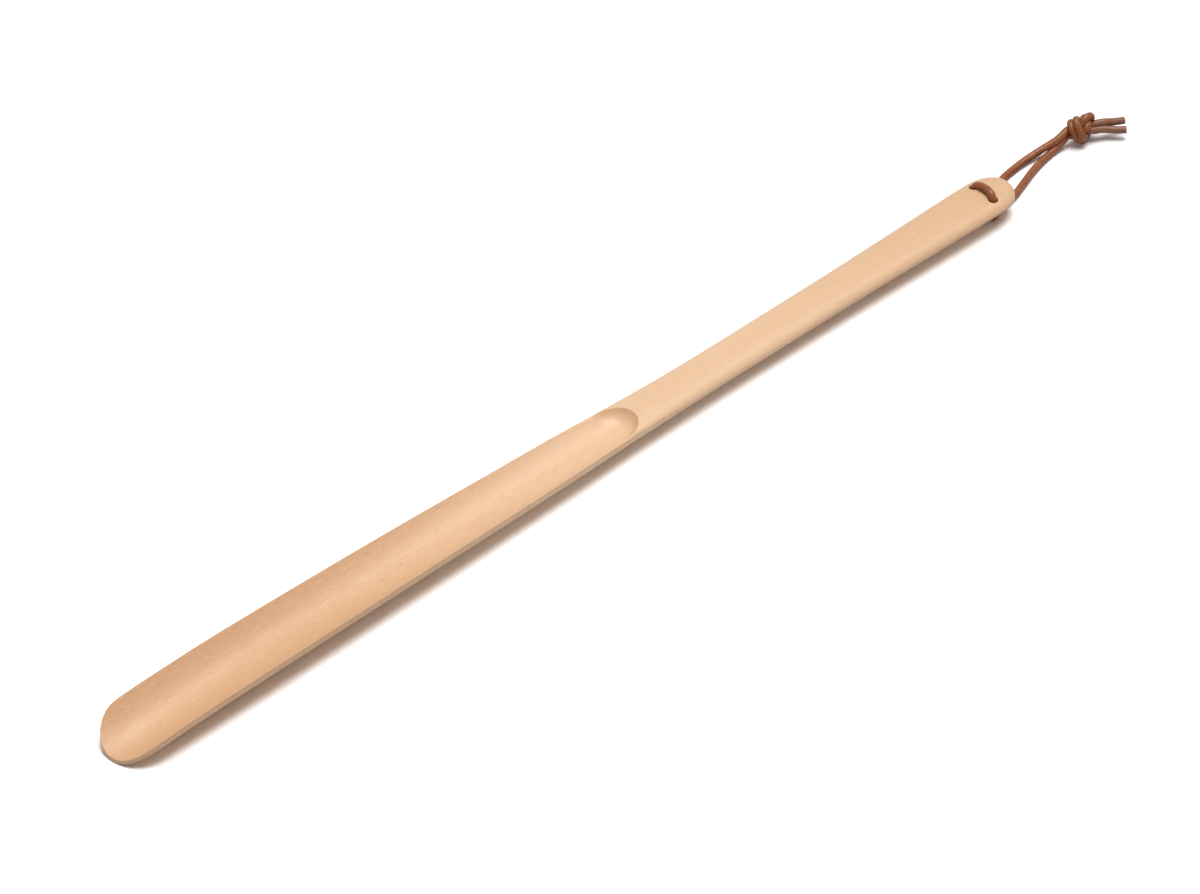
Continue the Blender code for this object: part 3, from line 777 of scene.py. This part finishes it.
# %% [markdown]
# ## The two cord holes
#
# The holes are drilled straight through near the handle's end, one cord and a little room wide, and
# their mouths are eased so that they don't cut the leather. A drilled hole is a cylinder taken out by
# a Boolean, and the eased mouth is the cylinder's end, extruded and scaled wider in three steps.

# %% Drill the holes
HOLE_RADIUS = 0.0020
HOLE_SIDES = 48
FACE_HEIGHT = 0.01308
# How far below the top face each ring of the mouth lies, and how wide it is for a hole of 1.
MOUTH = ((0.0016, 1.0), (0.0005, 1.03), (0.0, 1.15), (-0.0012, 1.6))
FACING = 0.9
SMOOTH_UP_TO = 40.0


def drill(side):
    """One cutter: a cylinder whose upper end flares where it meets the top face."""
    x, y = HOLE_MIDDLES[side]
    deselect_all()
    bpy.ops.mesh.primitive_cylinder_add(vertices=HOLE_SIDES, radius=HOLE_RADIUS, depth=FACE_HEIGHT,
                                        location=(x + TIP[0], y, FACE_HEIGHT / 2 - MOUTH[0][0]))
    cutter = bpy.context.object
    bpy.ops.object.transform_apply(location=True, rotation=True, scale=True)
    bpy.ops.object.mode_set(mode="EDIT")
    bpy.ops.mesh.select_all(action="DESELECT")
    bpy.ops.object.mode_set(mode="OBJECT")
    for face in cutter.data.polygons:
        face.select = face.normal.z > FACING
    bpy.ops.object.mode_set(mode="EDIT")
    for (above, wide), (below, wider) in zip(MOUTH, MOUTH[1:]):
        bpy.ops.mesh.extrude_region_move(TRANSFORM_OT_translate={"value": (0, 0, above - below)})
        bpy.ops.transform.resize(value=(wider / wide, wider / wide, 1))
    bpy.ops.object.mode_set(mode="OBJECT")
    return cutter


def cut_out(piece, cutter):
    """Take the cutter out of the piece for good."""
    deselect_all()
    piece.select_set(True)
    bpy.context.view_layer.objects.active = piece
    modifier = piece.modifiers.new(cutter.name, "BOOLEAN")
    modifier.operation = "DIFFERENCE"
    modifier.solver = "EXACT"
    modifier.object = cutter
    bpy.ops.object.modifier_apply(modifier=modifier.name)
    bpy.data.objects.remove(cutter)


for side in (1, -1):
    cut_out(horn, drill(side))
deselect_all()
horn.select_set(True)
bpy.context.view_layer.objects.active = horn
bpy.ops.object.shade_smooth_by_angle(angle=math.radians(SMOOTH_UP_TO))
print("horn faces with its holes:", len(horn.data.polygons))


# %% [markdown]
# ## Beech
#
# Pale beech is an even, warm wood. Close up it has short dark flecks that run with the grain, paler
# streaks beside them, fine pores, and broad bands that are a little pinker. An image of wood would
# show a seam on the sides, while a pattern computed in space runs through the piece like real grain.
# So three noises, stretched along the horn, tint a base colour, which goes from a deeper tone on the
# blade to a paler one on the handle and back at its end. The paler handle is partly the wood's own
# tone and partly a painted sheen, for the light that its flat top reflects. A fourth noise makes the
# pores.

# %% Helpers for a finish
def new_material(name):
    """A material with an empty tree apart from its shader and output."""
    material = bpy.data.materials.new(name)
    material.use_nodes = True
    return material, material.node_tree.nodes, material.node_tree.links


def stretched_noise(nodes, links, source, scale, detail):
    """A noise on the given coordinates, stretched by a scale for each axis."""
    mapping = nodes.new("ShaderNodeMapping")
    mapping.inputs["Scale"].default_value = scale
    noise = nodes.new("ShaderNodeTexNoise")
    noise.inputs["Scale"].default_value = 1.0
    noise.inputs["Detail"].default_value = detail
    links.new(source, mapping.inputs["Vector"])
    links.new(mapping.outputs["Vector"], noise.inputs["Vector"])
    return noise.outputs["Fac"]


def range_of(nodes, links, value, low, high, to_low=0.0, to_high=1.0):
    """Read a noise between two levels as a share from to_low to to_high."""
    node = nodes.new("ShaderNodeMapRange")
    node.interpolation_type = "SMOOTHSTEP"
    node.inputs["From Min"].default_value = low
    node.inputs["From Max"].default_value = high
    node.inputs["To Min"].default_value = to_low
    node.inputs["To Max"].default_value = to_high
    links.new(value, node.inputs["Value"])
    return node.outputs["Result"]


def pattern(nodes, links, place, scale, low, high, strength, detail=2.0):
    """A stretched noise, read between two levels as a share of no more than the strength."""
    noise = stretched_noise(nodes, links, place, scale, detail)
    return range_of(nodes, links, noise, low, high, 0.0, strength)


def times(nodes, links, first, second):
    """Multiply two shares."""
    node = nodes.new("ShaderNodeMath")
    node.operation = "MULTIPLY"
    links.new(first, node.inputs[0])
    links.new(second, node.inputs[1])
    return node.outputs["Value"]


def tint(nodes, links, share, below, above):
    """Mix two colours by a share."""
    mix = nodes.new("ShaderNodeMix")
    mix.data_type = "RGBA"
    links.new(share, mix.inputs["Factor"])
    for socket, colour in (("A", below), ("B", above)):
        target = [s for s in mix.inputs if s.name == socket and s.type == "RGBA"][0]
        if isinstance(colour, tuple):
            target.default_value = (*colour, 1.0)
        else:
            links.new(colour, target)
    return [s for s in mix.outputs if s.type == "RGBA"][0]


beech, nodes, links = new_material("sanded_beech")
print("the wood's material starts with", [node.name for node in nodes])


# %% Fine grain for wood and leather
GRAIN_DEPTH = 0.0001
GRAIN_DETAIL = 2.0


def grain_group():
    """A node group for fine relief: a noise at a place, as a share and as a tilted normal."""
    group = bpy.data.node_groups.new("fine_grain", "ShaderNodeTree")
    group.interface.new_socket("Place", in_out="INPUT", socket_type="NodeSocketVector")
    group.interface.new_socket("Depth", in_out="INPUT", socket_type="NodeSocketFloat")
    group.interface.new_socket("Share", in_out="OUTPUT", socket_type="NodeSocketFloat")
    group.interface.new_socket("Normal", in_out="OUTPUT", socket_type="NodeSocketVector")
    entry = group.nodes.new("NodeGroupInput")
    leave = group.nodes.new("NodeGroupOutput")
    noise = group.nodes.new("ShaderNodeTexNoise")
    noise.inputs["Scale"].default_value = 1.0
    noise.inputs["Detail"].default_value = GRAIN_DETAIL
    relief = group.nodes.new("ShaderNodeBump")
    relief.inputs["Distance"].default_value = GRAIN_DEPTH
    group.links.new(entry.outputs["Place"], noise.inputs["Vector"])
    group.links.new(entry.outputs["Depth"], relief.inputs["Strength"])
    group.links.new(noise.outputs["Fac"], relief.inputs["Height"])
    group.links.new(noise.outputs["Fac"], leave.inputs["Share"])
    group.links.new(relief.outputs["Normal"], leave.inputs["Normal"])
    return group


def add_grain(nodes, links, place, scale, depth):
    """Put the fine grain into a material, stretched by a scale for each axis."""
    mapping = nodes.new("ShaderNodeMapping")
    mapping.inputs["Scale"].default_value = scale
    grain = nodes.new("ShaderNodeGroup")
    grain.node_tree = fine_grain
    grain.inputs["Depth"].default_value = depth
    links.new(place, mapping.inputs["Vector"])
    links.new(mapping.outputs["Vector"], grain.inputs["Place"])
    links.new(grain.outputs["Normal"], nodes["Principled BSDF"].inputs["Normal"])
    return grain.outputs["Share"]


fine_grain = grain_group()
print("fine grain:", [(item.name, item.in_out) for item in fine_grain.interface.items_tree])


# %% The wood's finish
BEECH_BLADE = (0.675, 0.395, 0.207)
# The handle's paler colour is partly the wood's own tone and partly a painted sheen on its flat top.
BEECH_HANDLE_AND_SHEEN = (0.800, 0.530, 0.318)
BEECH_END = (0.705, 0.440, 0.245)
BEECH_PINK = (0.755, 0.455, 0.275)
BEECH_FLECK = (0.52, 0.275, 0.140)
BEECH_SILVER = (0.86, 0.600, 0.400)
BLADE_TO_HANDLE = (-0.19, 0.05)
HANDLE_TO_END = (0.09, 0.26)
# Each pattern has its scale along, across and up, the two levels it is read between, its strength.
BANDS = ((5, 60, 80), 0.35, 0.68, 0.45)
FLECKS = ((230, 1500, 1500), 0.50, 0.74, 0.42)
STREAKS = ((150, 1100, 1300), 0.52, 0.72, 0.26)
CALMER_FLECKS = (-0.12, 0.06, 1.0, 0.4)
PORES = ((420, 3600, 3600), 0.08)
PORE_ROUGHNESS = (0.3, 0.7, 0.38, 0.48)
BEECH_SHEEN = 0.62

shader = nodes["Principled BSDF"]
place = nodes.new("ShaderNodeTexCoord").outputs["Object"]
parts = nodes.new("ShaderNodeSeparateXYZ")
links.new(place, parts.inputs["Vector"])
along_horn_axis = parts.outputs["X"]
calmer = range_of(nodes, links, along_horn_axis, *CALMER_FLECKS)
flecks = times(nodes, links, pattern(nodes, links, place, *FLECKS), calmer)
colour = BEECH_BLADE
for share, wood in (
    # Paler towards the handle: partly the wood's tone, partly a painted sheen.
    (range_of(nodes, links, along_horn_axis, *BLADE_TO_HANDLE), BEECH_HANDLE_AND_SHEEN),
    (range_of(nodes, links, along_horn_axis, *HANDLE_TO_END), BEECH_END),
    (pattern(nodes, links, place, *BANDS), BEECH_PINK),
    (pattern(nodes, links, place, *STREAKS), BEECH_SILVER),
    (flecks, BEECH_FLECK),
):
    colour = tint(nodes, links, share, colour, wood)
links.new(colour, shader.inputs["Base Color"])
pores = add_grain(nodes, links, place, *PORES)
links.new(range_of(nodes, links, pores, *PORE_ROUGHNESS), shader.inputs["Roughness"])
shader.inputs["Specular IOR Level"].default_value = BEECH_SHEEN
horn.data.materials.clear()
horn.data.materials.append(beech)
print("materials on the horn:", [m.name for m in horn.data.materials])


# %% [markdown]
# ## Leather
#
# The cord is round leather, dyed brown and polished by handling. Its colour is uneven along its
# length, with darker patches and a fine grain, and its two tails past the knot are tinted greyer and
# paler, a painted sheen. The worn stretches have to follow the cord round its bends, so they read the
# distance along the cord that each tube was given. The patches and the grain read the place in space,
# and so show no seam. The cut ends get the same finish in a darker colour.

# %% The leather's finish
LEATHER = (0.285, 0.078, 0.017)
LEATHER_WORN = (0.40, 0.125, 0.030)
LEATHER_DARK = (0.130, 0.034, 0.011)
# Painted sheen: the tails past the knot are tinted greyer and paler.
LEATHER_TAIL_SHEEN = (0.230, 0.105, 0.062)
LEATHER_CUT = (0.15, 0.062, 0.034)
WAVES_PER_METRE = 160.0
WAVE_DETAIL = 3.0
WORN = (0.45, 0.75, 0.0, 0.45)
PATCHES = ((500, 500, 500), 0.45, 0.72, 0.6, 3.0)
TAILS_FROM = 0.116
TAILS_PAINTED_SHEEN = (TAILS_FROM, TAILS_FROM + 0.008, 0.0, 0.75)
LEATHER_GRAIN = ((2600, 2600, 2600), 0.2)
LEATHER_ROUGHNESS = 0.34
LEATHER_SHEEN = 0.40


def leather_material(name, base):
    """Dyed leather with uneven colour, in a base colour of its own."""
    material, nodes, links = new_material(name)
    shader = nodes["Principled BSDF"]
    along = nodes.new("ShaderNodeAttribute")
    along.attribute_name = "along_cord"
    wave = nodes.new("ShaderNodeTexNoise")
    wave.noise_dimensions = "1D"
    wave.inputs["Scale"].default_value = WAVES_PER_METRE
    wave.inputs["Detail"].default_value = WAVE_DETAIL
    links.new(along.outputs["Fac"], wave.inputs["W"])
    place = nodes.new("ShaderNodeTexCoord").outputs["Object"]
    patches = pattern(nodes, links, place, *PATCHES)
    worn = range_of(nodes, links, wave.outputs["Fac"], *WORN)
    # Where the tails begin, the painted sheen of the tails takes over.
    tail_sheen = range_of(nodes, links, along.outputs["Fac"], *TAILS_PAINTED_SHEEN)
    colour = tint(nodes, links, patches, base, LEATHER_DARK)
    colour = tint(nodes, links, worn, colour, LEATHER_WORN)
    colour = tint(nodes, links, tail_sheen, colour, LEATHER_TAIL_SHEEN)
    links.new(colour, shader.inputs["Base Color"])
    shader.inputs["Roughness"].default_value = LEATHER_ROUGHNESS
    shader.inputs["Specular IOR Level"].default_value = LEATHER_SHEEN
    add_grain(nodes, links, place, *LEATHER_GRAIN)
    return material


leather = leather_material("brown_leather", LEATHER)
leather_cut = leather_material("cut_leather", LEATHER_CUT)
for name, cord in cords.items():
    cord.data.materials.clear()
    cord.data.materials.append(leather)
    cord.data.materials.append(leather_cut)
    end = Vector(routes[name][-1])
    way = Vector(unit(routes[name][-1] - routes[name][-2]))
    for face in cord.data.polygons:
        at_end = (face.center - end).length < CORD_DIAMETER and face.normal.dot(way) > FACING
        face.material_index = 1 if at_end else 0
print("cut faces:", [sum(f.material_index for f in cord.data.polygons) for cord in cords.values()])


# %% [markdown]
# ## Table and light
#
# The photograph is a plain studio picture: a white table and one wide soft light overhead. A sun lamp
# with a wide angle gives that light evenly over the whole table, and a weak sky fills the shadows.
# The sky is white where the camera sees it and in reflections, which puts a soft sheen on the wood.
# The camera also sees the table a little brighter than it is, so that only the deep part of the
# shadow stays, as in an overexposed white ground. The light on the object isn't changed by that.
# What the table throws back on to the object comes from a plain, slightly greyer white.

# %% Table
TABLE_SIZE = 16
TABLE_WHITE = 0.96
TABLE_EXTRA = 0.40
TABLE_BOUNCE = 0.84
TABLE_ROUGHNESS = 0.9

deselect_all()
bpy.ops.mesh.primitive_plane_add(size=TABLE_SIZE)
table = bpy.context.object
table.name = "table"
white, nodes, links = new_material("white_table")
plain = nodes["Principled BSDF"]
plain.inputs["Base Color"].default_value = (TABLE_WHITE, TABLE_WHITE, TABLE_WHITE, 1.0)
plain.inputs["Roughness"].default_value = TABLE_ROUGHNESS
plain.inputs["Specular IOR Level"].default_value = 0.0
bounce = nodes.new("ShaderNodeBsdfDiffuse")
bounce.inputs["Color"].default_value = (TABLE_BOUNCE, TABLE_BOUNCE, TABLE_BOUNCE, 1.0)
extra = nodes.new("ShaderNodeBsdfDiffuse")
extra.inputs["Color"].default_value = (TABLE_EXTRA, TABLE_EXTRA, TABLE_EXTRA, 1.0)
both = nodes.new("ShaderNodeAddShader")
seen_by = nodes.new("ShaderNodeLightPath")
choose = nodes.new("ShaderNodeMixShader")
links.new(plain.outputs["BSDF"], both.inputs[0])
links.new(extra.outputs["BSDF"], both.inputs[1])
links.new(seen_by.outputs["Is Camera Ray"], choose.inputs["Fac"])
links.new(bounce.outputs["BSDF"], choose.inputs[1])
links.new(both.outputs["Shader"], choose.inputs[2])
links.new(choose.outputs["Shader"], nodes["Material Output"].inputs["Surface"])
table.data.materials.append(white)
print("table, m:", TABLE_SIZE)


# %% Sun and sky
SUN_STRENGTH = 2.75
SUN_ANGLE = 44.0
SUN_FROM = Vector((0.14, -0.03, 1.0))
SKY = 0.20
WHITE = (1.0, 1.0, 1.0, 1.0)

deselect_all()
bpy.ops.object.light_add(type="SUN", location=(0, 0, 3))
sun = bpy.context.object
sun.data.energy = SUN_STRENGTH
sun.data.angle = math.radians(SUN_ANGLE)
sun.rotation_mode = "QUATERNION"
sun.rotation_quaternion = (-SUN_FROM).to_track_quat("-Z", "Y")

world = bpy.data.worlds.new("studio")
bpy.context.scene.world = world
world.use_nodes = True
nodes = world.node_tree.nodes
links = world.node_tree.links
sky = nodes["Background"]
sky.inputs["Color"].default_value = WHITE
sky.inputs["Strength"].default_value = SKY
seen = nodes.new("ShaderNodeBackground")
seen.inputs["Color"].default_value = WHITE
seen.inputs["Strength"].default_value = 1.0
path = nodes.new("ShaderNodeLightPath")
seen_or_glossy = nodes.new("ShaderNodeMath")
seen_or_glossy.operation = "MAXIMUM"
or_clear = nodes.new("ShaderNodeMath")
or_clear.operation = "MAXIMUM"
choose = nodes.new("ShaderNodeMixShader")
links.new(path.outputs["Is Camera Ray"], seen_or_glossy.inputs[0])
links.new(path.outputs["Is Glossy Ray"], seen_or_glossy.inputs[1])
links.new(seen_or_glossy.outputs["Value"], or_clear.inputs[0])
links.new(path.outputs["Is Transmission Ray"], or_clear.inputs[1])
links.new(or_clear.outputs["Value"], choose.inputs["Fac"])
links.new(sky.outputs["Background"], choose.inputs[1])
links.new(seen.outputs["Background"], choose.inputs[2])
links.new(choose.outputs["Shader"], nodes["World Output"].inputs["Surface"])
bpy.context.scene.view_settings.view_transform = "Standard"
print("sun", SUN_STRENGTH, "sky", SKY)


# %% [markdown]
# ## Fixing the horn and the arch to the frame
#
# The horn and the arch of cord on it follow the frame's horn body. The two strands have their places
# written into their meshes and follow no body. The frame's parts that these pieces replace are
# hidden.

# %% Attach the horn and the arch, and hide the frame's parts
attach(horn, "horn")
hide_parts("horn")
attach(cords["arch"], "horn")
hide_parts("cord_bridge")
for name, side in (("far", 1), ("near", -1)):
    cord = cords["strand_" + name]
    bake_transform(cord)
    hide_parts("cord_strand_" + name, "cord_knot_" + name, "cord_tail_" + name)
    way = routes["strand_" + name]
print("pieces:", [piece.name for piece in (horn, *cords.values())])
